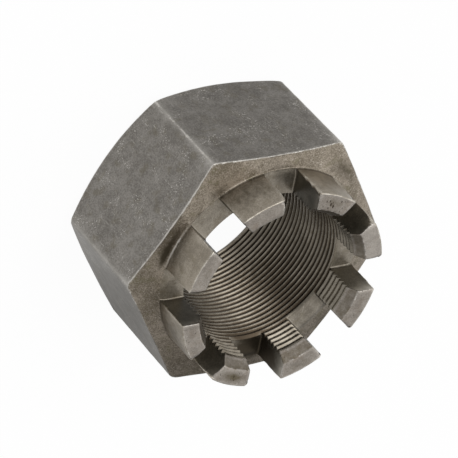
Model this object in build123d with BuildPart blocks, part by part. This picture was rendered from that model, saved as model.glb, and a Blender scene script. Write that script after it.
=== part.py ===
"""Castle nut M45 x 1.5, 65 mm across flats: one forged and turned steel piece.

Millimetres. The bore runs along +Z, the bearing face lies in the plane Z = 0, and the
crown with its eight slots points up. Two corners of the hexagon lie on the X axis and
two flats face +Y and -Y. The bore is plain, at the crest of the thread: the thread
itself is too fine for this source.
"""

import math
import os

from build123d import *

# Hexagon
across_flats = 65.0
total_height = 46.0
corner_height = 32.4  # top of the hexagon's corners, where the turned top meets them
corner_round = 1.6  # the upright edges are a little rounded by the forging

# Bearing end
bearing_diameter = 64.0  # flat ring left by the chamfer
bearing_chamfer_angle = 30.0  # measured from the bearing face

# Crown
crown_diameter = 57.4
crown_base_rise = 1.9  # of the sloping top, from the hexagon's corners to the crown's wall
crown_base_round = 0.4  # small radius left by the turning tool
crown_tip_round = 0.3  # outer edge of the teeth
slot_count = 8
slot_width = 9.7
slot_floor_rise = 0.45  # of the slots' floors over the foot of the crown's wall
slot_floor_round = 0.4  # at the feet of the slots' walls, from the cutter's corners

# Thread M45 x 1.5
thread_diameter = 45.0
thread_pitch = 1.5
crest_diameter = thread_diameter - 1.0825 * thread_pitch
crown_lead_in_diameter = 47.9  # mouth of the bore between the teeth
crown_lead_in_depth = 3.1
bearing_lead_in_diameter = 48.2  # countersink of 45 degrees in the bearing face

# Sizes that follow from those above
corner_radius = across_flats / math.sqrt(3)
blank_radius = corner_radius + 1.0  # past the hexagon's corners, so the cones cut them fully
chamfer_slope = math.tan(math.radians(bearing_chamfer_angle))
chamfer_outer_height = (blank_radius - bearing_diameter / 2) * chamfer_slope
crown_base_height = corner_height + crown_base_rise
slot_floor_height = crown_base_height + slot_floor_rise
top_slope = crown_base_rise / (corner_radius - crown_diameter / 2)
top_outer_height = corner_height - (blank_radius - corner_radius) * top_slope
crest_radius = crest_diameter / 2
bearing_lead_in_depth = (bearing_lead_in_diameter - crest_diameter) / 2

with BuildPart() as castle_nut:
    # Six-sided blank with rounded upright edges.
    with BuildSketch(Plane.XY):
        RegularPolygon(radius=across_flats / 2, side_count=6, major_radius=False)
    extrude(amount=total_height)
    fillet(castle_nut.edges().filter_by(Axis.Z), radius=corner_round)

    # Turned outline: bearing chamfer, sloping top of the hexagon, crown wall.
    with BuildSketch(Plane.XZ) as outline:
        with BuildLine():
            Polyline(
                (0, 0),
                (bearing_diameter / 2, 0),
                (blank_radius, chamfer_outer_height),
                (blank_radius, top_outer_height),
                (crown_diameter / 2, crown_base_height),
                (crown_diameter / 2, total_height),
                (0, total_height),
                close=True,
            )
        make_face()
        # In a sketch on this plane, Y is the height. The crown's wall starts at the lower
        # of the corners on its own diameter, and ends at the outer one of the top line.
        wall_corners = outline.vertices().filter_by_position(
            Axis.X, crown_diameter / 2 - 0.01, crown_diameter / 2 + 0.01
        )
        fillet(wall_corners.sort_by(Axis.Y)[0], radius=crown_base_round)
        tip_corner = outline.vertices().group_by(Axis.Y)[-1].sort_by(Axis.X)[-1]
        fillet(tip_corner, radius=crown_tip_round)
    revolve(axis=Axis.Z, mode=Mode.INTERSECT)

    # Bore with a lead-in at each end.
    with BuildSketch(Plane.XZ):
        with BuildLine():
            Polyline(
                (0, 0),
                (bearing_lead_in_diameter / 2, 0),
                (crest_radius, bearing_lead_in_depth),
                (crest_radius, total_height - crown_lead_in_depth),
                (crown_lead_in_diameter / 2, total_height),
                (0, total_height),
                close=True,
            )
        make_face()
    revolve(axis=Axis.Z, mode=Mode.SUBTRACT)

    # Four cuts right across the crown leave eight slots and eight teeth.
    with BuildSketch(Plane.XY.offset(slot_floor_height)):
        with PolarLocations(0, slot_count // 2, angular_range=180):
            Rectangle(2 * crown_diameter, slot_width)
    extrude(amount=total_height - slot_floor_height, mode=Mode.SUBTRACT)
    # The straight edges at the floors' height are the feet of the slots' walls.
    wall_feet = castle_nut.edges().filter_by(GeomType.LINE).filter_by_position(
        Axis.Z, slot_floor_height - 0.01, slot_floor_height + 0.01
    )
    fillet(wall_feet, radius=slot_floor_round)

castle_nut.part.label = "castle_nut"
os.makedirs("parts", exist_ok=True)
export_step(castle_nut.part, "parts/castle_nut.step")
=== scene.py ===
"""Looks of a castle nut: a forged hexagon, a turned and slotted crown, a cut thread.

The nut is one closed surface, joined from patches of the body's outside, the teeth, the
slots' floors and walls, and the thread. Lengths are in millimetres up to the mesh, which
is in metres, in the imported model's frame.
"""

import logging
import math
from dataclasses import dataclass
from enum import Enum

import bpy
import bmesh
import numpy as np
from mathutils import Matrix

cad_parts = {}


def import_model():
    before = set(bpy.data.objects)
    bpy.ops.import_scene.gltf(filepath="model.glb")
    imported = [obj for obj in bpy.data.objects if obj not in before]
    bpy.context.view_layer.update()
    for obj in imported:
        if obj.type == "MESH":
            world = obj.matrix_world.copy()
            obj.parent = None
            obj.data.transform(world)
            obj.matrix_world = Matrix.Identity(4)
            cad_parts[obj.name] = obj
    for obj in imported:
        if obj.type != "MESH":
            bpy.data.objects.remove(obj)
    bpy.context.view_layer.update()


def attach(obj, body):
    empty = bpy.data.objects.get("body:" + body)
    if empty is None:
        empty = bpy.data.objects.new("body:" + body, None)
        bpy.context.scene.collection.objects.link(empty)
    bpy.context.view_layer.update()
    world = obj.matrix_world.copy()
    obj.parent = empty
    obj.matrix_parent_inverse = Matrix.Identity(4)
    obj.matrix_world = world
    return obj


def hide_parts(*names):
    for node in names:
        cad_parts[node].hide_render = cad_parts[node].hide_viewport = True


LOG = logging.getLogger("castle_nut")
NODE = "castle_nut"
MM = 0.001

Array = np.ndarray
Grid = np.ndarray | float
Numbers = tuple[float, ...]
Breaks = tuple[Grid, Grid]
Socket = bpy.types.NodeSocket


class Surface(Enum):
    """How a part of the nut was made, with its place among the finishes."""

    FORGED = 0
    TOP = 1
    CROWN = 2
    TOOTH_END = 3
    MILLED = 4
    THREAD = 5
    SLOT_FLOOR = 6


@dataclass
class Patch:
    """A grid of points of one kind of surface, and values for its rows and columns.

    Attributes:
        points: Array of rows by columns by 3.
        surface: How this patch was made.
        wear_and_glint: 1 on a rubbed edge, and along a painted glint at the crown's foot.
        pale: How far the steel is evenly rubbed pale, with a painted sheen along the hexagon's
            corners.
        dirt_and_shade: 1 where dark oil and dust have settled, and where shade is painted: in
            corners, in the grooves and on one side of the bore.
        pitted: 1 where small pits are torn open.
        uneven: How far the surface wanders inwards at most.
    """

    points: Array
    surface: Surface
    wear_and_glint: Grid = 0.0
    pale: Grid = 0.0
    dirt_and_shade: Grid = 0.0
    pitted: Grid = 0.0
    uneven: Grid = 0.0


def polar_points(radius: Grid, angle: Grid, height: Grid) -> Array:
    """Turn distance from the axis, angle from +X in radians and height into x, y, z."""
    x, y = radius * np.cos(angle), radius * np.sin(angle)
    return np.stack(np.broadcast_arrays(x, y, height), axis=-1)


def unit(way: Array) -> Array:
    """Bring ways along the last axis to a length of 1."""
    return way / np.linalg.norm(way, axis=-1, keepdims=True)


def round_corner(before: Array, corner: Array, after: Array, radius: Grid, steps: int) -> Array:
    """Replace the corners of many section lines by arcs, centred on their bisectors.

    Args:
        before: Columns by 2, radius and height of points on the lines to the corners.
        corner: The corners.
        after: Points on the lines from them.
        radius: Radius of the arcs.
        steps: Pieces of an arc.

    Returns:
        Array of steps + 1 rows by columns by 2.
    """
    radius = np.broadcast_to(radius, corner.shape[:1])[:, None]
    to_before, to_after = unit(before - corner), unit(after - corner)
    half = 0.5 * np.arccos(np.clip((to_before * to_after).sum(-1), -1.0, 1.0))[:, None]
    centre = corner + unit(to_before + to_after) * radius / np.sin(half)
    first = corner + to_before * radius / np.tan(half) - centre
    last = corner + to_after * radius / np.tan(half) - centre
    turn = np.pi - 2.0 * half
    share = np.linspace(0, 1, steps + 1)[:, None, None]
    arc = (np.sin((1.0 - share) * turn) * first + np.sin(share * turn) * last) / np.sin(turn)
    return centre + arc


def rows_between(first: Array, last: Array, steps: int, extra: Numbers = ()) -> Array:
    """Give the rows between two rows, at even steps and at extra shares of the way."""
    share = np.unique([*np.linspace(0, 1, steps + 1)[1:-1], *extra])
    return first + (last - first) * share[:, None, None]


def smooth_step(value: Grid) -> Array:
    """Rise from 0 to 1 over the same range, with level ends: 3 v^2 - 2 v^3."""
    value = np.clip(value, 0.0, 1.0)
    return value * value * (3.0 - 2.0 * value)


def near(distance: Grid, reach: float) -> Array:
    """Fall from 1 at no distance to almost 0 at twice the reach, as a bell curve."""
    return np.exp(-((distance / reach) ** 2))


def lattice_noise(points: Array, size: float, seed: int) -> Array:
    """Give smooth noise between 0 and 1, mixed from random values on a cubic lattice.

    Args:
        points: Points, with x, y, z along the last axis.
        size: Spacing of the lattice.
        seed: Number that picks the values.

    Returns:
        One value for each point.
    """
    side = 32
    lattice = np.random.default_rng(seed).random((side, side, side))
    place = points / size + 0.5 * side
    cell = np.floor(place).astype(int)
    share = smooth_step(place - cell)
    total = np.zeros(points.shape[:-1])
    for corner in np.ndindex(2, 2, 2):
        weight = np.prod(np.where(corner, share, 1.0 - share), axis=-1)
        x, y, z = np.moveaxis((cell + corner) % side, -1, 0)
        total += weight * lattice[x, y, z]
    return total


@dataclass(frozen=True)
class NutSizes:
    """Sizes of the nut in millimetres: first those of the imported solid, then finer ones.

    Each of the hexagon's corners has its own round and wear, each flat's upper rim its
    wear, and each tooth two corner rounds, first the one at the lower angle.
    """

    across_flats: float = 65.0
    height: float = 46.0
    corner_height: float = 32.4
    bearing_diameter: float = 64.0
    bearing_angle: float = 30.0
    crown_diameter: float = 57.4
    crown_base: float = 34.3
    base_round: float = 0.4
    tip_round: float = 0.3
    slots: int = 8
    slot_width: float = 9.7
    slot_floor: float = 34.75
    slot_round: float = 0.4
    thread_diameter: float = 45.0
    pitch: float = 1.5
    lead_in_diameter: float = 47.9
    lead_in_depth: float = 3.1
    countersink_diameter: float = 48.2

    bearing_round: float = 0.4
    rim_drop: float = 0.33
    rim_reach: float = 0.9
    edge_break: float = 0.15
    inner_break: float = 0.25
    corner_rounds: Numbers = (1.8, 1.6, 1.4, 2.4, 2.8, 2.0)
    corner_wear: Numbers = (0.9, 0.95, 1.0, 0.4, 0.6, 0.9)
    rim_wear: Numbers = (0.9, 1.2, 1.8, 0.6, 0.9, 0.8)
    tooth_corners: tuple[Numbers, ...] = (
        (0.8, 1.2), (0.4, 0.35), (0.9, 0.35), (0.3, 0.5),
        (0.35, 0.7), (0.8, 0.8), (0.5, 0.7), (0.5, 0.35))

    @property
    def crown_radius(self) -> float:
        """Radius of the crown's wall."""
        return self.crown_diameter / 2

    @property
    def crest_radius(self) -> float:
        """Radius of the thread's crests, the smallest of the bore."""
        return (self.thread_diameter - 1.0825 * self.pitch) / 2

    @property
    def tooth_start(self) -> float:
        """Height at which the teeth stand on the slots' rounds."""
        return self.slot_floor + self.slot_round


@dataclass(frozen=True)
class Columns:
    """The columns that every patch shares, counted round the nut from +X.

    A column in a slot, or on the broken edge of its wall, keeps its offset from the
    slot's middle line. Those of a tooth share the rest of the angle evenly.

    Attributes:
        sizes: The nut's sizes.
        in_floor: Pieces of the level half of a slot's floor.
        in_round: Pieces of the round beside it.
        in_tooth: Pieces of a tooth between its two broken edges.
        edge_steps: Places of columns on a broken edge, as shares of its width.
    """

    sizes: NutSizes
    in_floor: int = 3
    in_round: int = 4
    in_tooth: int = 13
    edge_steps: Numbers = (0.0, 0.1, 0.4, 1.0)

    @property
    def wall(self) -> int:
        """Number of the wall's column, counted from the slot's middle."""
        return self.in_floor + self.in_round

    @property
    def per_slot(self) -> int:
        """Columns from one slot's middle to the next one's."""
        return 2 * self.wall + 2 * (len(self.edge_steps) - 1) + self.in_tooth

    @property
    def count(self) -> int:
        """Columns once round the nut."""
        return self.sizes.slots * self.per_slot

    def _places(self, index: Array) -> tuple[Array, ...]:
        """Describe where columns lie between one slot's middle and the next one's.

        Args:
            index: Column numbers.

        Returns:
            Offset from the middle line, place on the broken edge, share of the tooth's
            angle, and height over the slot's floor.
        """
        size = self.sizes.slot_round
        half_width = self.sizes.slot_width / 2
        level = np.linspace(0.0, half_width - size, self.in_floor + 1)[:-1]
        turn = np.radians(90.0) * np.arange(self.in_round) / self.in_round
        slot = np.concatenate([level, half_width - size + size * np.sin(turn)])
        rise = np.concatenate([0 * level, size * (1.0 - np.cos(turn))])
        steps = np.array(self.edge_steps)
        inside = np.linspace(0, 1, self.in_tooth + 1)[1:-1]
        wide = 2 * len(steps) + len(inside)
        none, ones = 0 * slot, 0 * slot[1:] + 1.0
        return tuple(np.concatenate(parts)[index % self.per_slot] for parts in (
            (slot, np.full(wide, half_width), slot[:0:-1]),
            (none, steps, 0 * inside + 1.0, steps[::-1], none[1:]),
            (none, 0 * steps, inside, 0 * steps + 1.0, ones),
            (rise, np.full(wide, size), rise[:0:-1])))

    def angles(self, index: Array, radius: Grid, breaks: Breaks | None = None) -> Array:
        """Give the angle of columns at a radius.

        Args:
            index: Column numbers.
            radius: Distance from the axis.
            breaks: Widths of the broken edges at the tooth's first and last wall.

        Returns:
            Angles in radians.
        """
        offset, place, share, _ = self._places(index)
        first, last = breaks or (self.sizes.edge_break, self.sizes.edge_break)
        sector = 2.0 * np.pi / self.sizes.slots
        return ((index // self.per_slot) * sector
                + (1.0 - share) * np.arcsin((offset + first * place) / radius)
                + share * (sector - np.arcsin((offset + last * place) / radius)))

    def inset(self, index: Array, breaks: Breaks) -> Array:
        """Give how far a tooth's surface lies back along its edges' quarter circles."""
        _, place, share, _ = self._places(index)
        return np.where(share < 0.5, *breaks) * (1.0 - np.sqrt(1.0 - (1.0 - place) ** 2))

    def seat(self, index: Array) -> Array:
        """Give the height of the line where the teeth and the slots' rounds start."""
        return self.sizes.slot_floor + self._places(index)[3]

    def in_teeth(self, index: Array) -> Array:
        """Give 0 for the columns of a slot's level floor, and 1 for a tooth's."""
        return smooth_step((self.seat(index) - self.sizes.slot_floor) / self.sizes.slot_round)

    def floor_height(self, index: Array, radius: Grid) -> Array:
        """Give the height of a slot's floor, whose outer rim is worn down softly."""
        worn = self.sizes.rim_drop * near(self.sizes.crown_radius - radius, self.sizes.rim_reach)
        return self.seat(index) - worn * (1.0 - self.in_teeth(index))


@dataclass
class NutPart:
    """A part of the nut that is built from patches.

    Attributes:
        sizes: The nut's sizes.
        columns: The shared columns.
    """

    sizes: NutSizes
    columns: Columns


@dataclass
class HexBody(NutPart):
    """The forged body: bearing face, chamfer, six flats and the turned top.

    Attributes:
        corner_steps: Pieces of half of an upright corner's round.
        wander: Least radius of the flats' worn rims, and how much more it can be.
        painted_glint: Angle and reach in degrees, and strength, of a painted glint along the
            crown's foot.
    """

    corner_steps: int = 4
    wander: Numbers = (0.12, 0.28)
    painted_glint: Numbers = (161.0, 11.0, 1.6)

    def outline(self) -> Array:
        """Give the hexagon with rounded corners, one point for each column and one more.

        Returns:
            Array of columns + 1 by 3, at a height of 0.
        """
        steps = self.corner_steps
        rounds = np.array(self.sizes.corner_rounds)[:, None]
        rays = np.radians(60.0 * np.arange(len(rounds)))[:, None]
        reach = (self.sizes.across_flats / 2 - rounds) / math.cos(math.radians(30.0))
        turn = np.radians(30.0) * np.arange(-steps, steps + 1) / steps
        arcs = polar_points(reach, rays, 0.0) + polar_points(rounds, rays + turn, 0.0)
        starts, ends = arcs[:, -1], np.roll(arcs[:, 0], -1, axis=0)
        pieces = self.columns.count // len(rounds) - 2 * steps
        flats = np.moveaxis(rows_between(starts, ends, pieces), 0, 1)
        ring = np.concatenate(
            [arcs[:, steps:], flats, np.roll(arcs[:, :steps], -1, axis=0)], axis=1).reshape(-1, 3)
        return np.vstack([ring, ring[:1]])

    def patches(self) -> list[Patch]:
        """Build the outside from the countersink's edge to the foot of the crown.

        Every column is a section line with rounded corners, whose angle passes smoothly
        from the hexagon's to the round faces'.

        Returns:
            The patches of the bearing end, the flats and the top.
        """
        s, columns = self.sizes, self.columns
        ring = self.outline()
        rho = np.hypot(ring[:, 0], ring[:, 1])
        psi = np.unwrap(np.arctan2(ring[:, 1], ring[:, 0]))
        index = np.arange(columns.count + 1)
        chamfer_height = (rho - s.bearing_diameter / 2) * math.tan(math.radians(s.bearing_angle))
        outside = s.across_flats / math.sqrt(3)
        slope = (s.crown_base - s.corner_height) / (outside - s.crown_radius)
        inner, rim, low, high, foot, wall = (
            np.stack(np.broadcast_arrays(radius, height, rho)[:2], -1) for radius, height in (
                (s.countersink_diameter / 2, 0.0), (s.bearing_diameter / 2, 0.0),
                (rho, chamfer_height), (rho, s.corner_height + (outside - rho) * slope),
                (s.crown_radius, s.crown_base), (s.crown_radius, columns.seat(index))))

        worn_high, worn_low = (self.wander[0] + self.wander[1] * lattice_noise(ring, 3.0, seed)
                               for seed in (11, 12))
        rim_arc = round_corner(inner, rim, low, s.bearing_round, 2)
        low_arc = round_corner(rim, low, high, worn_low, 3)
        high_arc = round_corner(low, high, foot, worn_high, 4)
        foot_arc = round_corner(high, foot, wall, s.base_round, 4)
        bearing = np.concatenate([inner[None], rows_between(inner, rim_arc[0], 8), rim_arc,
                                  rows_between(rim_arc[-1], low_arc[0], 5), low_arc[:1]])
        flats = np.concatenate(
            [low_arc, rows_between(low_arc[-1], high_arc[0], 38, (0.012, 0.988)), high_arc])
        top = np.concatenate([high_arc[-1:], rows_between(high_arc[-1], foot_arc[0], 14),
                              foot_arc, wall[None]])
        step_foot = s.crown_base - 0.1
        rise = np.clip((top[..., 1] - step_foot) / (wall[:, 1] - step_foot), 0.0, 1.0)
        top[..., 1] += rise * (columns.floor_height(index, s.crown_radius) - wall[:, 1])

        def blend(section: Array, share: Grid, radius: float) -> Array:
            """Place section rows at angles between the hexagon's and the columns'."""
            angle = psi + (columns.angles(index, radius) - psi) * share
            return polar_points(section[..., 0], angle, section[..., 1])

        bearing_share = smooth_step((s.bearing_diameter / 2 - bearing[..., 0])
                                    / (s.bearing_diameter - s.countersink_diameter) * 2)
        start = rho - 1.0
        top_share = smooth_step((start - top[..., 0]) / (start - s.crown_radius - s.base_round))
        sides = blend(flats, 0.0, s.crown_radius)
        below_top, over_chamfer = high[:, 1] - flats[..., 1], flats[..., 1] - low[:, 1]
        # Way along the outline to the nearest corner's middle.
        way = np.concatenate([[0.0], np.cumsum(np.linalg.norm(np.diff(ring, axis=0), axis=1))])
        aside = np.abs(way[:, None] - way[None, :: columns.count // 6]).min(axis=1)
        corners = np.degrees(psi) / 60.0
        line = np.interp(corners % 6.0, np.arange(7), s.corner_wear + s.corner_wear[:1])
        line = line * (0.3 + 1.7 * lattice_noise(sides, 2.2, 13)) * near(aside, 0.4)
        rim = np.interp((corners - 0.5) % 6.0, np.arange(7), s.rim_wear + s.rim_wear[:1])
        rims = rim * near(below_top, 0.32) + near(over_chamfer, 0.25)
        under_rim = smooth_step((6.0 - below_top) / 5.0)
        # Pale bands along the corners, widest under the top rim: rubbed steel, and a painted sheen
        # where the rounded corners mirror the light.
        rub_and_sheen = 0.2 * near(aside, 1.2) + 0.22 * near(aside, 1.9) * under_rim
        in_tooth = columns.in_teeth(index)
        past_crown = top[..., 0] - s.crown_radius
        # Painted glint: a bright line along the crown's foot near one angle, mixed in like rubbed
        # steel.
        side, reach, strength = self.painted_glint
        painted_glint = strength * near(past_crown - 0.1, 0.13) * near(np.degrees(psi) - side, reach)
        return [
            Patch(blend(bearing, bearing_share, s.countersink_diameter / 2), Surface.FORGED,
                  wear_and_glint=near(low[:, 0] - bearing[..., 0], 0.25),
                  uneven=0.05 * smooth_step(bearing[..., 1] / 0.5)),
            Patch(sides, Surface.FORGED, wear_and_glint=np.maximum(line, rims),
                  pale=rub_and_sheen * (0.5 + lattice_noise(sides, 3.0, 14)),
                  uneven=0.09 + 0.16 * near(aside, 1.1)),
            # The top is painted darker right at the crown's foot: painted shade in the corner.
            Patch(blend(top, top_share, s.crown_radius), Surface.TOP,
                  wear_and_glint=near(rho - top[..., 0], 0.25) + painted_glint * in_tooth, uneven=0.05,
                  dirt_and_shade=0.15 * near(past_crown, 0.3) * in_tooth),
        ]


@dataclass
class Thread(NutPart):
    """The cut thread M45 x 1.5, right-handed, with a lead-in at each end.

    Attributes:
        profile: Points of one pitch, as shares of the pitch and of the depth: a crest
            with eased corners, a flank, a narrow root, and a flank back.
        shade_side: Angle in degrees of a band of painted shade on the bore below the slots; the
            teeth's grooves are painted less dark there.
        shade_reach: Width of that band in degrees.
        start: Place in the profile at which the bearing face cuts it on the X axis.
        ease: Half of the height over which the bore passes into the crown's lead-in.
        run_out: Height over which the grooves end there.
    """

    profile: tuple[Numbers, ...] = (
        (0.0, 0.07), (0.045, 0.0), (0.205, 0.0), (0.25, 0.07), (0.575, 1.0), (0.675, 1.0))
    shade_side: float = 313.0
    shade_reach: float = 22.0
    start: float = 0.2
    ease: float = 0.4
    run_out: float = 0.9

    @property
    def depth(self) -> float:
        """Depth of the groove, five eighths of the sharp triangle's height."""
        return 0.5413 * self.sizes.pitch

    @property
    def last_turn(self) -> float:
        """Height at which the grooves have ended, a little up the crown's lead-in."""
        return self.sizes.height - self.sizes.lead_in_depth + 0.5 * self.run_out

    def groove(self, angle: Grid, height: Grid) -> Array:
        """Give the share of the groove's depth, which rises by one pitch for each turn."""
        phase = self.start + height / self.sizes.pitch - angle / (2.0 * np.pi)
        return (np.interp(phase, *np.array(self.profile).T, period=1.0)
                * smooth_step((self.last_turn - height) / self.run_out))

    def radius(self, angle: Grid, height: Grid) -> Array:
        """Give the radius of the bore, which passes softly into the crown's lead-in.

        Args:
            angle: Angle about the axis in radians.
            height: Height above the bearing face.

        Returns:
            The thread's radius, or the countersink's where that is wider.
        """
        s = self.sizes
        slope = (s.lead_in_diameter / 2 - s.crest_radius) / s.lead_in_depth
        way = height - s.height + s.lead_in_depth
        eased = np.clip(way + self.ease, 0.0, 2.0 * self.ease) ** 2 / (4.0 * self.ease)
        crest = s.crest_radius + slope * np.where(way > self.ease, way, eased)
        return np.maximum(crest + self.depth * self.groove(angle, height),
                          s.countersink_diameter / 2 - height)

    def middle_angles(self, index: Array) -> Array:
        """Give the angle of columns at half of the groove's depth."""
        return self.columns.angles(index, self.sizes.crest_radius + self.depth / 2)

    def rows(self, angle: Array, low: Grid, high: Grid, first_turn: int, count: int) -> Array:
        """Give the heights of rows on the thread's own lines, held between two limits."""
        turns = first_turn + np.arange(count)[:, None] + [place for place, _ in self.profile]
        return np.clip(self.sizes.pitch * (turns.reshape(-1, 1) - self.start
                                           + angle / (2.0 * np.pi)), low, high)

    def dirt_and_shade(self, angle: Grid, height: Grid) -> Array:
        """Give how dark the bore's wall is painted: oil and dust with painted shade in the grooves,
        and a band of painted shade.

        Args:
            angle: Angle about the axis in radians.
            height: Height above the bearing face.

        Returns:
            0 on clean steel and 1 in a full groove.
        """
        s = self.sizes
        groove = self.groove(angle, height)
        countersunk = s.countersink_diameter / 2 - height > s.crest_radius + self.depth * groove
        away = np.degrees(angle - math.radians(self.shade_side)) % 360.0
        away = np.minimum(away, 360.0 - away)
        # Painted shade: a dark band about one angle, on the bore below the slots.
        painted_shade = 0.3 * near(away, self.shade_reach) * smooth_step((height - 6.0) / 12.0)
        thin = (0.38 - 0.36 * near(away, 1.6 * self.shade_reach)) * groove ** 0.4
        on_teeth = smooth_step((height - s.slot_floor) / 3.0)
        clean = 1.0 - 0.2 * smooth_step((height - self.last_turn) / 2.0 + 1.0)
        dirt_and_shade = np.where(countersunk, 0.0, groove + (thin - groove) * on_teeth) * clean
        return dirt_and_shade + painted_shade * (1.0 - on_teeth)

    def wall_points(self, index: Array, height: Array, inset: Grid = 0.0,
                    breaks: Breaks | None = None) -> tuple[Array, Array]:
        """Give points on the bore's wall.

        Args:
            index: Column numbers.
            height: Rows by columns of heights.
            inset: How far the surface lies back into the steel.
            breaks: Widths of the tooth's broken edges.

        Returns:
            Points, rows by columns by 3, and the soil on each, dirt and painted shade.
        """
        # Angle and radius depend a little on each other.
        radius = np.full(height.shape, self.sizes.crest_radius)
        for _ in range(3):
            angle = self.columns.angles(index, radius, breaks)
            radius = self.radius(angle, height) + inset
        angle = self.columns.angles(index, radius, breaks)
        return polar_points(radius, angle, height), self.dirt_and_shade(angle, height)

    def patches(self) -> list[Patch]:
        """Build the bore below the slots.

        Returns:
            The patches of the thread and of the countersink's mouth.
        """
        s, columns = self.sizes, self.columns
        index = np.arange(columns.count + 1)
        seat = columns.seat(index)
        low = s.countersink_diameter / 2 - (s.crest_radius + self.depth + 0.05)
        first_turn = math.floor(low / s.pitch) - 2
        turns = math.ceil(s.tooth_start / s.pitch) - first_turn + 2
        height = self.rows(self.middle_angles(index), low, seat, first_turn, turns)
        bore, dirt_and_shade = self.wall_points(index, height)
        dirt_and_shade = dirt_and_shade * (1.0 - (1.0 - columns.in_teeth(index)) * near(seat - height, 0.6))
        mouth_height = np.linspace(0.0, low, 5)[:, None] + 0 * seat
        return [Patch(bore, Surface.THREAD, dirt_and_shade=dirt_and_shade),
                Patch(self.wall_points(index, mouth_height)[0], Surface.TOOTH_END)]


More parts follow.
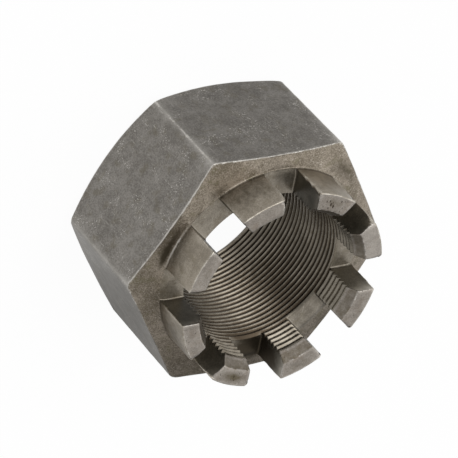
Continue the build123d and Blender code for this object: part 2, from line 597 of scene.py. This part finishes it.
@dataclass
class Crown(NutPart):
    """The slotted crown: eight teeth, the slots' floors and their walls.

    Attributes:
        thread: The thread, which ends on the teeth.
        across: Pieces from a tooth's outside to its inside.
        cone_rows: Pieces of the lead-in.
        round_rows: Pieces of the tip's round.
        corner_reach: Height over which a tooth's corners grow rounder.
        lip: How far the inner rim of the tip falls.
        ragged: How far each tooth's edges wander at most.
        pitted: How far each tip is torn open by small pits.
        pits_at: Distance from the axis, reach across and reach along of the pits.
        brightened: How far each tip is rubbed pale.
        crests: How far each tooth's thread is rubbed pale.
    """

    thread: Thread
    across: int = 10
    cone_rows: int = 8
    round_rows: int = 4
    corner_reach: float = 4.0
    lip: float = 0.1
    ragged: Numbers = (0.3, 1.2, 0.5, 0.3, 0.4, 0.6, 0.4, 0.3)
    pitted: Numbers = (0, 0.78, 0, 0, 0, 0.62, 0, 0)
    pits_at: Numbers = (25.8, 1.6, 4.6)
    brightened: Numbers = (0.16, 0, 0, 0, 0, 0, 0, 0)
    crests: Numbers = (0.05, 0, 0, 0, 0.05, 0, 0.02, 0.12)

    @property
    def floor_share(self) -> Array:
        """Places of a slot floor's rows from the outside inwards, closer at its worn rim."""
        return np.linspace(0, 1, self.across + 1) ** 1.5

    def _breaks(self, number: int, height: Array) -> Breaks:
        """Give the widths of a tooth's two outer edges, which wander and grow to the tip.

        Args:
            number: Tooth number.
            height: Column of heights.

        Returns:
            Widths at the first and at the last wall.
        """
        s = self.sizes
        grow = smooth_step((height - s.height + self.corner_reach) / self.corner_reach) ** 1.5
        start = smooth_step((height - s.tooth_start) / 1.5)
        spots = (np.stack([0 * height + 3.0 * number, 0 * height + 5.0 * side, height], axis=-1)
                 for side in (0, 1))
        return tuple(s.edge_break + self.ragged[number] * lattice_noise(spot, 1.4, 21) ** 2 * start
                     + (corner - s.edge_break) * grow
                     for spot, corner in zip(spots, s.tooth_corners[number]))

    def tooth(self, number: int) -> list[Patch]:
        """Build one tooth, whose faces lie back on its broken edges, and its two walls.

        Args:
            number: Tooth number, from 0.

        Returns:
            The patches of this tooth.
        """
        s, thread, columns = self.sizes, self.thread, self.columns
        start, cone_foot = s.tooth_start, thread.last_turn
        index = np.arange(number * columns.per_slot + columns.wall,
                          (number + 1) * columns.per_slot - columns.wall + 1)

        # Inside: rows along the thread's lines, then level rows up the lead-in.
        angle = thread.middle_angles(index)
        first_turn = math.floor(start / s.pitch - angle.max() / (2 * np.pi)) - 1
        turns = math.ceil((s.height - start) / s.pitch) + 2
        threaded = thread.rows(angle, start, cone_foot, first_turn, turns)
        steps = np.linspace(0, 1, self.cone_rows + 1)[1:, None]
        inner_height = np.concatenate(
            [threaded, cone_foot + (s.height - self.lip - cone_foot) * steps + 0 * angle])
        widening = np.clip((inner_height - start) / (s.height - start), 0.0, 1.0)
        inner_breaks = 2 * (s.edge_break + (s.inner_break - s.edge_break) * widening,)
        inner_inset = columns.inset(index, inner_breaks) * smooth_step((inner_height - start) / 0.5)
        inner_height[-1] -= inner_inset[-1]
        inner, dirt_and_shade = thread.wall_points(index, inner_height, inner_inset, inner_breaks)

        # Outside: upright rows, then the tip's round.
        upright = np.linspace(start, s.height - s.tip_round, len(inner) - self.round_rows)[:, None]
        turn = np.radians(90.0) * np.linspace(0, 1, self.round_rows + 1)[1:, None]
        height = np.concatenate([upright, s.height - s.tip_round * (1.0 - np.sin(turn))])
        breaks = self._breaks(number, height)
        inset = columns.inset(index, breaks) * smooth_step((height - start) / 0.5)
        bend = np.concatenate([0 * upright, turn])
        radius = s.crown_radius - s.tip_round * (1.0 - np.cos(bend)) - inset
        height = height - inset * np.sin(bend)
        outer = polar_points(radius, columns.angles(index, radius, breaks), height)

        # Tip: level, with a small fall at its inner rim.
        share = np.linspace(0, 1, self.across + 1)[:, None]
        share = 0.5 * (share + smooth_step(share))
        tip_breaks = tuple(side[-1] + (s.inner_break - side[-1]) * smooth_step(share / 0.45)
                           for side in breaks)
        end_radius = np.hypot(inner[-1, :, 0], inner[-1, :, 1])
        tip_radius = radius[-1] + (end_radius - radius[-1]) * share
        drop = self.lip * np.clip((share - 0.86) / 0.14, 0.0, 1.0) ** 2
        tip = polar_points(tip_radius, columns.angles(index, tip_radius, tip_breaks),
                           s.height - columns.inset(index, tip_breaks) - drop)

        around = columns.angles(index, s.crown_radius)
        side_way = s.crown_radius * np.minimum(around - around[0], around[-1] - around)
        sides = near(side_way, 0.25)
        tip_way = np.minimum(radius[-1] - tip_radius, tip_radius - end_radius)
        middle, pits_across, pits_along = self.pits_at
        torn = (near(tip_radius - middle, pits_across)
                * near(side_way - side_way.max(), pits_along) * self.pitted[number])
        chipped = (0.45 + 1.1 * lattice_noise(outer, 1.6, 42)) * near(s.height - height, 0.3)
        grooved = len(threaded)
        patches = [
            # Each tooth's outside is painted darker towards its foot: painted shade in the corner.
            Patch(outer, Surface.CROWN, uneven=0.04, dirt_and_shade=0.1 * near(height - start, 1.6),
                  wear_and_glint=np.maximum(chipped, sides * smooth_step((height - start) / 3.0))),
            Patch(tip, Surface.TOOTH_END, uneven=0.06, pitted=torn, pale=self.brightened[number],
                  wear_and_glint=np.maximum(near(tip_way, 0.25), sides)),
            Patch(inner[:grooved], Surface.THREAD, dirt_and_shade=dirt_and_shade[:grooved], pale=self.crests[number]),
            Patch(inner[grooved - 1:], Surface.TOOTH_END, wear_and_glint=0.6 * sides, uneven=0.03,
                  dirt_and_shade=0.3 * smooth_step(np.arange(self.cone_rows + 1)[:, None] / 2.0)),
        ]
        for column in (0, -1):
            wall = self._wall(outer[:, column], inner[:, column], tip[:, column])
            scuffed = 0.6 * near(s.height - wall[..., 2], 1.7)
            patches.append(Patch(wall, Surface.MILLED, uneven=0.04,
                                 pale=scuffed * (0.4 + lattice_noise(wall, 1.1, 41))))
        return patches

    def _wall(self, outer: Array, inner: Array, tip: Array) -> Array:
        """Blend one slot wall from its sides, and move its ends to the floor and the tip.

        Args:
            outer: Rows by 3, upwards along the tooth's outside.
            inner: Rows by 3, upwards along its inside.
            tip: Columns by 3, inwards along its tip.

        Returns:
            Rows by columns by 3.
        """
        u = np.linspace(0, 1, len(tip))[:, None]
        v = np.linspace(0, 1, len(outer))[:, None, None]
        floor = outer[0] + (inner[0] - outer[0]) * self.floor_share[:, None]
        sides = (1.0 - u) * outer[:, None] + u * inner[:, None]
        return sides + (1.0 - v) * (floor - sides[0]) + v * (tip - sides[-1])

    def slot_floor(self, number: int) -> Patch:
        """Build the floor of one slot with its two rounds.

        Args:
            number: Slot number, from 0.

        Returns:
            The floor's patch.
        """
        s, columns = self.sizes, self.columns
        middle = number * columns.per_slot
        index = np.arange(middle - columns.wall, middle + columns.wall + 1)
        seat = columns.seat(index)
        outer = polar_points(s.crown_radius, columns.angles(index, s.crown_radius), seat)
        inner = self.thread.wall_points(index, seat[None, :])[0][0]
        points = outer + (inner - outer) * self.floor_share[:, None, None]
        points[..., 2] = columns.floor_height(index, np.hypot(points[..., 0], points[..., 1]))
        points[-1, :, 2] = seat
        return Patch(points, Surface.SLOT_FLOOR)

    def patches(self) -> list[Patch]:
        """Build all teeth and all slots."""
        built = [patch for n in range(self.sizes.slots) for patch in self.tooth(n)]
        return built + [self.slot_floor(n) for n in range(self.sizes.slots)]


def srgb(code: str) -> Numbers:
    """Turn an sRGB hex colour into the linear values that shaders take, and an alpha."""
    channels = np.frombuffer(bytes.fromhex(code), np.uint8) / 255.0
    return (*np.where(channels <= 0.04045, channels / 12.92,
                      ((channels + 0.055) / 1.055) ** 2.4).tolist(), 1.0)


@dataclass
class NodeKit:
    """Short forms of the few nodes that the finishes and the surround are made of.

    Attributes:
        owner: The material or world that they are added to.
    """

    owner: bpy.types.Material | bpy.types.World

    def __post_init__(self) -> None:
        """Switch on the owner's nodes, without those that it starts with."""
        self.owner.use_nodes = True
        self.owner.node_tree.nodes.clear()

    def add(self, kind: str, inputs: dict[str | int, object] | None = None,
            output: str | int = 0, **settings: object) -> Socket | None:
        """Add a node with its settings and inputs.

        Args:
            kind: Blender's name of the node type, without ShaderNode.
            inputs: Input name or number to the socket that feeds it, or to its value.
            output: Name or number of the output that is wanted.
            settings: Properties of the node itself.

        Returns:
            The output's socket, or None for a node without outputs.
        """
        tree = self.owner.node_tree
        node = tree.nodes.new("ShaderNode" + kind)
        for name, value in settings.items():
            setattr(node, name, value)
        for name, value in (inputs or {}).items():
            if isinstance(value, Socket):
                tree.links.new(value, node.inputs[name])
            else:
                node.inputs[name].default_value = value
        return node.outputs[output] if len(node.outputs) else None

    def noise(self, place: Socket, size_mm: float, detail: float = 1.0) -> Socket:
        """Add noise whose grains are about size_mm millimetres wide, with a mean of a half."""
        return self.add("TexNoise", {"Vector": place, "Scale": 1.0 / (size_mm * MM),
                                     "Detail": detail, "Roughness": 0.55})

    def ramp(self, value: Socket, low: float, high: float, top: float = 1.0,
             bottom: float = 0.0) -> Socket:
        """Add a smooth rise from bottom to top while the value goes from low to high."""
        return self.add("MapRange", {"Value": value, "From Min": low, "From Max": high,
                                     "To Min": bottom, "To Max": top},
                        interpolation_type="SMOOTHSTEP")

    def math(self, operation: str, first: Socket | float, second: Socket | float) -> Socket:
        """Add one calculation with two sockets or numbers."""
        return self.add("Math", {0: first, 1: second}, operation=operation)

    def plus(self, base: Socket | float, *weighted: tuple[Socket, float]) -> Socket:
        """Add sockets, each times its weight, to a base.

        Args:
            base: Socket or number to start from.
            weighted: Pairs of a socket and its weight.

        Returns:
            The sum.
        """
        for socket, weight in weighted:
            base = self.math("ADD", base, self.math("MULTIPLY", socket, weight))
        return base

    def tint(self, colour: Socket | Numbers, share: Socket, code: str) -> Socket:
        """Mix a colour towards the sRGB colour of a hex code."""
        return self.add("Mix", {"Factor": share, "A": colour, "B": srgb(code)}, "Result",
                        data_type="RGBA")


@dataclass(frozen=True)
class SteelFinish:
    """A finish of the nut's bare carbon steel.

    Attributes:
        name: Name of the material.
        colours: sRGB codes of dark and light patches, stains, rubbed edges with painted glints and
            sheen, and dirt with painted shade.
        scales: Sizes of the patches and of the grain, and height of the grain's relief,
            in millimetres.
        roughness: Mean roughness.
        cloudiness: Share of the patches in the mottle, the rest is grain.
        breadth: Weight of a broad drift of the colour.
        stains: Strength of the stains.
        specks: Strength of the bright specks, 0 for none, as in the following ones.
        pits: Strength of the small dark pits.
        scratches: Strength of the scratches.
        wear_and_glint: Strength of the rubbed edges and of the painted glint.
        rings: Height of the turning tool's rings, as a share of the relief.
    """

    name: str
    colours: str
    scales: Numbers
    roughness: float = 0.38
    cloudiness: float = 0.4
    breadth: float = 0.5
    stains: float = 0.4
    specks: float = 0.3
    pits: float = 0.0
    scratches: float = 0.0
    wear_and_glint: float = 0.8
    rings: float = 0.0

    def build(self) -> bpy.types.Material:
        """Make the material from noise and from the attributes of the mesh.

        Returns:
            The new material.
        """
        material = bpy.data.materials.new(self.name)
        dark, light, stained, bright, dirt_and_shade_tone = self.colours.split()
        cloud_mm, grain_mm, relief_mm = self.scales
        kit = NodeKit(material)
        place = kit.add("TexCoord", output="Object")
        wear_and_glint, pale, dirt_and_shade, torn = (kit.add("Attribute", output="Fac", attribute_name=name)
                                  for name in ("wear_and_glint", "pale", "dirt_and_shade", "pitted"))
        clouds = kit.noise(place, cloud_mm, 3.0)
        grain = kit.noise(place, grain_mm, 2.0)
        ragged = kit.noise(place, 1.3, 3.0)
        drift = kit.noise(place, 9.0, 2.0)
        mottle = kit.plus(kit.math("MULTIPLY", clouds, self.cloudiness),
                          (grain, 1.0 - self.cloudiness), (drift, self.breadth))
        middle = 0.5 + 0.5 * self.breadth
        colour = kit.tint(srgb(dark), kit.ramp(mottle, middle - 0.2, middle + 0.2), light)
        relief = kit.plus(grain, (clouds, 1.4))
        spots = kit.ramp(kit.noise(place, 2.6, 4.0), 0.52, 0.7, self.stains)
        colour = kit.tint(colour, spots, stained)
        if self.specks:
            flecks = kit.ramp(kit.noise(place, 0.34), 0.6, 0.7, self.specks)
            clusters = kit.ramp(kit.noise(place, 5.0, 2.0), 0.5, 0.66)
            colour = kit.tint(colour, kit.math("MULTIPLY", flecks, clusters), bright)
        if self.scratches:
            along = kit.add("Mapping", {"Vector": place, "Rotation": (0.5, 0.9, 0.35),
                                        "Scale": (1.0, 0.02, 0.02)})
            lines = kit.ramp(kit.noise(along, 0.16), 0.66, 0.76, self.scratches)
            lines = kit.math("MULTIPLY", lines, kit.ramp(ragged, 0.45, 0.6))
            colour = kit.tint(colour, lines, bright)
            relief = kit.plus(relief, (lines, -1.0))
        if self.rings:
            flat = kit.add("VectorMath", {0: place, 1: (1.0, 1.0, 0.0)}, operation="MULTIPLY")
            radius = kit.add("VectorMath", {0: flat}, "Value", operation="LENGTH")
            rings = kit.add("TexNoise", {"W": radius, "Scale": 1.0 / (0.28 * MM), "Detail": 1.0},
                            noise_dimensions="1D")
            relief = kit.plus(relief, (rings, self.rings))
        frayed = kit.plus(wear_and_glint, (kit.noise(place, 0.28), 1.6), (ragged, 2.0))
        # Brightened towards the rubbed colour: rubbed edges and pale steel, with the painted glint
        # and painted sheen that they carry.
        brightened = kit.math("MAXIMUM", kit.ramp(frayed, 2.4, 3.15, self.wear_and_glint),
                          kit.plus(pale, (wear_and_glint, 0.2 * self.wear_and_glint)))
        colour = kit.tint(colour, brightened, bright)
        # Darkened towards the dirt colour: real dirt, and painted shade in corners, grooves and
        # spots.
        dirt_and_shade_mix = kit.ramp(kit.plus(dirt_and_shade, (ragged, 0.3)), 0.3, 0.7)
        colour = kit.tint(colour, dirt_and_shade_mix, dirt_and_shade_tone)
        if self.pits:
            sparse = kit.math("MULTIPLY", kit.ramp(kit.noise(place, 3.5), 0.52, 0.65), 0.2)
            drawn = kit.add("Mapping", {"Vector": place, "Rotation": (0.0, 0.0, 1.1),
                                        "Scale": (1.0, 0.5, 1.0)})
            cells = kit.add("TexVoronoi", {"Vector": drawn, "Scale": 1.0 / (0.8 * MM)}, "Distance")
            cells = kit.plus(cells, (kit.noise(place, 0.3), 0.3),
                             (kit.math("MAXIMUM", torn, sparse), -0.4))
            holes = kit.ramp(cells, 0.27, 0.13, self.pits)
            colour = kit.tint(colour, holes, "40372e")
            relief = kit.plus(relief, (holes, -3.0))
        rough = kit.ramp(grain, 0.2, 0.8, self.roughness + 0.06, self.roughness - 0.06)
        rough = kit.plus(rough, (dirt_and_shade_mix, 0.08), (brightened, -0.08))
        dents = kit.math("MULTIPLY", kit.noise(place, 0.8, 2.0), wear_and_glint)
        bump = kit.add("Bump", {"Height": kit.plus(relief, (dents, 4.0)), "Strength": 1.0,
                                "Distance": relief_mm * MM})
        steel = kit.add("BsdfPrincipled", {"Base Color": colour, "Roughness": rough,
                                           "Normal": bump, "Metallic": 1.0})
        kit.add("OutputMaterial", {"Surface": steel})
        return material


FINISHES = (
    # Brushed scale: warm grey with a fine mottle and small bright specks.
    SteelFinish("forged_steel", "716d67 99958f 6f6856 dad6cf 4a443a", (2.4, 0.42, 0.024),
                roughness=0.42, cloudiness=0.35, breadth=0.3, specks=0.8, scratches=0.4),
    # Turned with a coarse feed: granular, stained olive by oil.
    SteelFinish("rough_turned_steel", "6b6356 a1978a 6f6a53 d6d2ca 4b4438", (1.6, 0.34, 0.032),
                cloudiness=0.25, breadth=0.6, stains=0.5, specks=0.35, pits=0.5, rings=0.2),
    # Turned finer: brown with a touch of pink.
    SteelFinish("turned_steel", "8a8275 b0a799 827864 d6d0c4 4b4438", (1.8, 0.36, 0.02), rings=0.3),
    # Faced and chamfered last: the cleanest steel, with a few torn pits.
    SteelFinish("faced_steel", "847d75 a69f96 7a6b5c d8d3cc 635a47", (2.0, 0.4, 0.015),
                roughness=0.36, stains=0.3, pits=0.9, wear_and_glint=0.75, rings=0.4),
    # Cut by a side mill: dull grey with a touch of green.
    SteelFinish("milled_steel", "625f57 7d786d 59544a c4beb2 453e33", (2.5, 0.4, 0.006),
                specks=0.15, wear_and_glint=0.55),
    # Cut by a tap: pale crests, and grooves darkened by oil and dust and by painted shade.
    SteelFinish("tapped_steel", "6e685e 8d867a 6a6153 cfc9ba 4a4136", (1.5, 0.3, 0.006),
                roughness=0.24, breadth=0.8, specks=0.0, wear_and_glint=0.5),
    # The mill's floor: paler than the walls, with scratches and brown stains.
    SteelFinish("slot_floor_steel", "777065 999286 746a58 cfc9bd 453e33", (1.8, 0.38, 0.015),
                stains=0.5, scratches=0.5, wear_and_glint=0.0),
)


def place_object(name: str, data: bpy.types.ID) -> bpy.types.Object:
    """Make an object and put it into the scene.

    Args:
        name: Name of the object.
        data: Its mesh or camera.

    Returns:
        The object.
    """
    thing = bpy.data.objects.new(name, data)
    bpy.context.scene.collection.objects.link(thing)
    return thing


@dataclass
class CastleNut:
    """The whole nut as one closed mesh.

    Attributes:
        sizes: The nut's sizes.
        weld: Distance under which points of two patches are one.
        crease: Angle from which an edge is shaded sharp, in degrees.
        shade_and_dirt_spots: Painted shade at the crown's foot and in the slots, and dirt on single
            teeth: angle in degrees, radius, height, reach round the axis, reach across, and
                strength.
    """

    sizes: NutSizes = NutSizes()
    weld: float = 0.002
    crease: float = 35.0
    shade_and_dirt_spots: tuple[Numbers, ...] = (
        (154, 30, 34, 4.5, 1, 0.3), (165, 30, 34, 4, 1, 0.33),
        (163, 31.3, 33.7, 6, 2.2, 0.27), (50, 31.5, 33.5, 8, 4, 0.4),
        (125, 29.9, 34.1, 3.5, 1.2, 0.3), (112, 28.7, 39, 9, 5, 0.34),
        (202.5, 28.7, 40, 6, 6, 0.36), (247.5, 26.4, 46, 6, 2.2, 0.38),
        (67.5, 26.4, 46, 6, 2.2, 0.32), (292.5, 26.4, 46, 6, 2.2, 0.28),
        (315, 25.5, 34.7, 3, 2, 0.3), (280.5, 26.2, 39.5, 1.5, 4.5, 0.6),
        (277.5, 26, 34.8, 3.5, 3.5, 0.5), (268, 25, 34.6, 6, 5, 0.45),
        (271, 21.8, 34.1, 5, 0.8, 0.35), (249, 26.3, 46, 1.8, 0.9, 0.12),
        (22.5, 22.8, 44.5, 9, 1.8, 0.05), (180, 25.5, 34.7, 4.5, 3, 0.28),
        (157.5, 26, 46, 7, 2.4, 0.24))

    def build(self) -> bpy.types.Object:
        """Build the mesh from its patches, close it and dress it.

        Returns:
            The nut's object.
        """
        columns = Columns(self.sizes)
        thread = Thread(self.sizes, columns)
        mesh = self._join(HexBody(self.sizes, columns).patches() + thread.patches()
                          + Crown(self.sizes, columns, thread).patches())
        self._roughen(mesh)
        mesh.shade_smooth()
        mesh.set_sharp_from_angle(angle=math.radians(self.crease))
        for finish in FINISHES:
            mesh.materials.append(finish.build())
        return place_object("castle_nut_steel", mesh)

    def _spot_darkening(self, points: Array) -> Array:
        """Give the darkening that the smudges add: painted shade and dirt.

        Args:
            points: Array of points by 3.

        Returns:
            One amount for each point.
        """
        side, radius, height, along, across, strength = np.array(self.shade_and_dirt_spots).T[:, :, None]
        turn = np.degrees(np.arctan2(points[:, 1], points[:, 0])) - side
        turn = np.radians((turn + 180.0) % 360.0 - 180.0)
        away = np.hypot(np.hypot(points[:, 0], points[:, 1]) - radius, points[:, 2] - height)
        return (strength * near(turn * radius, along) * near(away, across)).sum(axis=0)

    def _join(self, patches: list[Patch]) -> bpy.types.Mesh:
        """Join the patches' grids into one closed mesh with its faces turned outwards.

        Args:
            patches: All patches of the nut.

        Returns:
            The mesh, with the patches' values as attributes.
        """
        faces, kinds, start = [], [], 0
        for patch in patches:
            rows, cols = patch.points.shape[:2]
            grid = start + np.arange(rows * cols).reshape(rows, cols)
            start += rows * cols
            quads = np.stack([grid[:-1, :-1], grid[:-1, 1:], grid[1:, 1:], grid[1:, :-1]], -1)
            faces.append(quads.reshape(-1, 4))
            kinds.append(np.full(len(faces[-1]), patch.surface.value))
        points = np.concatenate([p.points.reshape(-1, 3) for p in patches]) * MM
        mesh = bpy.data.meshes.new("castle_nut_steel")
        mesh.from_pydata(points.tolist(), [], np.concatenate(faces).tolist())
        mesh.polygons.foreach_set("material_index", np.concatenate(kinds).astype(np.int32))
        for name in ("wear_and_glint", "pale", "dirt_and_shade", "pitted", "uneven"):
            values = np.concatenate([np.broadcast_to(getattr(p, name), p.points.shape[:2]).ravel()
                                     for p in patches]).astype(np.float32)
            # The spots add painted shade and dirt.
            if name == "dirt_and_shade":
                values += self._spot_darkening(points / MM)
            mesh.attributes.new(name, "FLOAT", "POINT").data.foreach_set("value", values)
        shell = bmesh.new()
        shell.from_mesh(mesh)
        bmesh.ops.remove_doubles(shell, verts=shell.verts, dist=self.weld * MM)
        bmesh.ops.dissolve_degenerate(shell, edges=shell.edges, dist=0.25 * self.weld * MM)
        bmesh.ops.recalc_face_normals(shell, faces=shell.faces)
        shell.to_mesh(mesh)
        shell.free()
        return mesh

    def _roughen(self, mesh: bpy.types.Mesh) -> None:
        """Let the surfaces wander inwards by up to their own unevenness.

        Args:
            mesh: The closed mesh.
        """
        count = len(mesh.vertices)
        points, normals, depth = np.empty(3 * count), np.empty(3 * count), np.empty(count)
        mesh.vertices.foreach_get("co", points)
        mesh.vertex_normals.foreach_get("vector", normals)
        mesh.attributes["uneven"].data.foreach_get("value", depth)
        points, normals = points.reshape(-1, 3), normals.reshape(-1, 3)
        places = points / MM
        noise = 0.6 * lattice_noise(places, 6.0, 31) + 0.4 * lattice_noise(places, 2.2, 32)
        points -= normals * (depth * MM * noise)[:, None]
        mesh.vertices.foreach_set("co", points.ravel())
        mesh.update()


def direction(azimuth: float, elevation: float) -> Numbers:
    """Give the unit vector at an azimuth from +X and an elevation, both in degrees."""
    a, e = math.radians(azimuth), math.radians(elevation)
    return (math.cos(e) * math.cos(a), math.cos(e) * math.sin(a), math.sin(e))


@dataclass(frozen=True)
class Studio:
    """White floor, a surround that is lit from one side, and the camera.

    Angles are in degrees and lengths in metres.

    Attributes:
        azimuth: Direction of the camera from the nut, counted from +X.
        elevation: Its height over the bearing plane.
        roll: Its turn about its line of sight.
        distance: Its way from the target.
        target: Point that the camera looks at.
        half_view: Half of its field of view.
        level: Radiance of the surround away from its glows.
        glows: Two bright windows and a dark wall: azimuth, elevation, cosines of the
            angles from its middle at which it starts and is complete, and radiance.
        half_floor: Half of the floor's width.
        gap: How far the floor lies under the bearing face, so that the two never mix.
        floor_level: Radiance of the floor as the steel mirrors it.
        floor_light: Share of the floor that shines by itself, the rest takes the shadow.
        mirrored_shade_spots: Painted shade in the floor where the steel mirrors it: x, y, reach,
            and by how much.
    """

    azimuth: float = 132.955
    elevation: float = 42.39
    roll: float = 137.436
    distance: float = 0.8736
    target: Numbers = (-0.001258, 0.002054, 0.020398)
    half_view: float = 3.772
    level: float = 0.65
    glows: tuple[Numbers, ...] = (
        (8.0, 49.0, 0.59, 1.0, 0.65), (79.0, 55.0, 0.9, 1.0, 2.1), (284.0, 4.0, 0.79, 0.91, -0.57))
    half_floor: float = 3.0
    gap: float = 0.00002
    floor_level: float = 0.76
    floor_light: float = 0.96
    mirrored_shade_spots: tuple[Numbers, ...] = (
        (0.012, 0.052, 0.045, 0.2), (-0.018, -0.05, 0.045, 0.33))

    def camera(self) -> None:
        """Place the camera, looking at the target with the photograph's roll."""
        back = np.array(direction(self.azimuth, self.elevation))
        matrix = Matrix.Translation((self.target + back * self.distance).tolist())
        for turn, axis in ((90.0 + self.azimuth, "Z"), (90.0 - self.elevation, "X"),
                           (self.roll, "Z")):
            matrix = matrix @ Matrix.Rotation(math.radians(turn), 4, axis)
        data = bpy.data.cameras.new("camera")
        data.sensor_fit = "HORIZONTAL"
        data.angle = 2.0 * math.radians(self.half_view)
        camera = place_object("camera", data)
        camera.matrix_world = matrix
        bpy.context.scene.camera = camera

    def floor(self) -> None:
        """Lay the floor: white to the camera and the steel, with spots of painted shade in the
        steel's reflections and a trace of shadow.
        """
        mesh = bpy.data.meshes.new("floor")
        corners = [(x * self.half_floor, y * self.half_floor, -self.gap)
                   for x, y in ((-1, -1), (1, -1), (1, 1), (-1, 1))]
        mesh.from_pydata(corners, [], [(0, 1, 2, 3)])
        floor = place_object("floor", mesh)
        material = bpy.data.materials.new("white_floor")
        kit = NodeKit(material)
        seen, through, glossy = (kit.add("LightPath", output=f"Is {kind} Ray")
                                 for kind in ("Camera", "Transmission", "Glossy"))
        seen = kit.math("MAXIMUM", seen, through)
        share = kit.math("MULTIPLY", kit.math("MAXIMUM", seen, glossy), self.floor_light)
        place = kit.add("NewGeometry", output="Position")
        mirrored = self.floor_level
        # Painted shade: spots of the floor near the nut are darker in the steel's reflections.
        for x, y, reach, share_lost in self.mirrored_shade_spots:
            away = kit.add("VectorMath", {0: place, 1: (x, y, 0.0)}, "Value", operation="DISTANCE")
            mirrored = kit.math("SUBTRACT", mirrored,
                                kit.ramp(away, reach, 0.3 * reach, share_lost))
        diffuse = kit.add("BsdfDiffuse", {"Color": srgb("f2f2f2")})
        white = kit.add("Emission", {"Strength": kit.math("MAXIMUM", seen, mirrored)})
        mixed = kit.add("MixShader", {0: share, 1: diffuse, 2: white})
        kit.add("OutputMaterial", {"Surface": mixed})
        material.cycles.emission_sampling = "NONE"  # it shines only on what looks at it
        mesh.materials.append(material)

    def world(self) -> None:
        """Make the surround: white to the camera, brighter on one side for the nut."""
        world = bpy.data.worlds.new("surround")
        bpy.context.scene.world = world
        kit = NodeKit(world)
        towards = kit.add("TexCoord", output="Generated")
        strength = self.level
        for azimuth, elevation, edge, full, change in self.glows:
            cosine = kit.add("VectorMath", {0: towards, 1: direction(azimuth, elevation)},
                             "Value", operation="DOT_PRODUCT")
            strength = kit.math("ADD", kit.ramp(cosine, edge, full, change), strength)
        light, white = (kit.add("Background", {"Color": srgb("ffffff"), "Strength": value})
                        for value in (strength, 1.0))
        seen = kit.add("LightPath", output="Is Camera Ray")
        kit.add("OutputWorld", {"Surface": kit.add("MixShader", {0: seen, 1: light, 2: white})})

    def build(self) -> None:
        """Set up floor, surround, camera and the plain view."""
        bpy.context.scene.view_settings.view_transform = "Standard"
        self.floor()
        self.world()
        self.camera()


def main() -> None:
    """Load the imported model, build the studio and the nut, and report each piece."""
    logging.basicConfig(level=logging.INFO, format="%(name)s: %(message)s")
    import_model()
    Studio().build()
    nut = CastleNut().build()
    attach(nut, "root")
    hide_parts(NODE)
    LOG.info("%s, %d faces, stands for %s", nut.name, len(nut.data.polygons), NODE)


if __name__ == "__main__":
    main()
